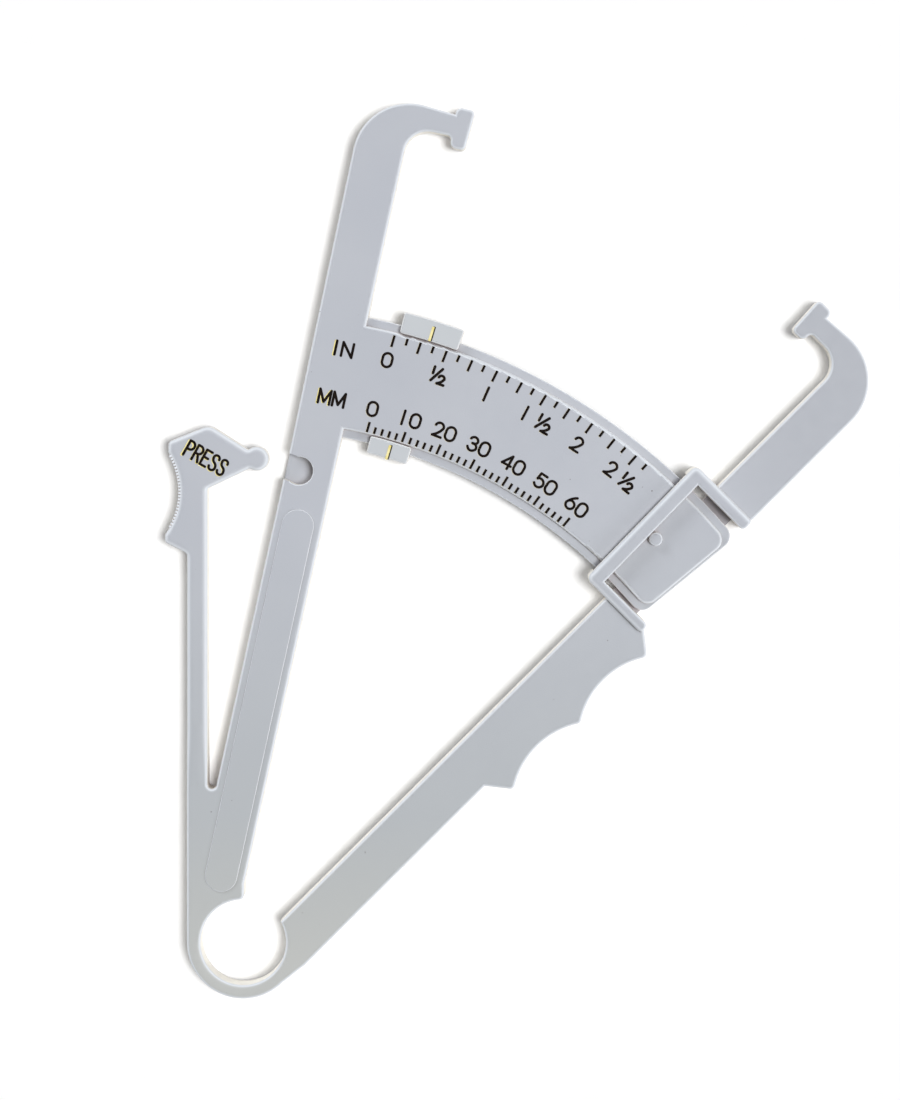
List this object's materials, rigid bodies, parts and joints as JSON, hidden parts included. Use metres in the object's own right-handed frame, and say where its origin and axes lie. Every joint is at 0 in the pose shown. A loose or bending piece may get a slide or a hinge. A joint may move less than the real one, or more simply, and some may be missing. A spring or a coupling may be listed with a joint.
{
  "type": "skinfold caliper",
  "caption": "Sprung plastic skinfold caliper with hooked arms, a curved scale plate, a sliding marker and a press lever that drops into a recess at the set force.",
  "frame": {"origin": "centre of the hinge ring's hole, on the back face; both arms turn about it", "axes": "+Z out of the printed face, +Y up the press lever's strip, +X to the right across the arms"},
  "size_m": [0.123, 0.1564, 0.0071],
  "materials": {
    "moulding": "satin",
    "marker": "satin",
    "ink": "hot-stamped"
  },
  "bodies": {
    "scale_side": {"hinge_ring": "moulding", "scale_arm": "moulding", "scale_plate": "moulding", "stop_peg": "moulding", "scale_jaw": "moulding", "lever_flexure": "moulding", "inch_ticks": "ink", "inch_numerals": "ink", "millimetre_ticks": "ink", "millimetre_numerals": "ink", "inch_label": "ink", "millimetre_label": "ink"},
    "guide_side": {"guide_arm": "moulding", "guide_frame": "moulding", "guide_jaw": "moulding"},
    "lever": {"press_lever": "moulding", "press_word": "ink"},
    "marker": {"marker": "marker", "marker_index_lines": "ink"}
  },
  "joints": [
    {"name": "jaw_hinge", "type": "hinge", "parent": "scale_side", "child": "guide_side", "pos_m": [0, 0, 0], "axis": [0, 0, 1], "range_deg": [0, 26.2], "stiffness_Nm_per_rad": 0.35, "deforming": ["hinge_ring"]},
    {"name": "lever_hinge", "type": "hinge", "parent": "scale_side", "child": "lever", "pos_m": [-0.00805, 0.0337, 0], "axis": [0, 0, 1], "range_deg": [-7.6, 0], "stiffness_Nm_per_rad": 2, "deforming": ["lever_flexure"]},
    {"name": "marker_slide", "type": "hinge", "parent": "scale_side", "child": "marker", "pos_m": [0, 0, 0], "axis": [0, 0, 1], "range_deg": [0, 3]}
  ],
  "couplings": [
    {"joint": "marker_slide", "follows": "jaw_hinge", "ratio": 0.1145}
  ]
}
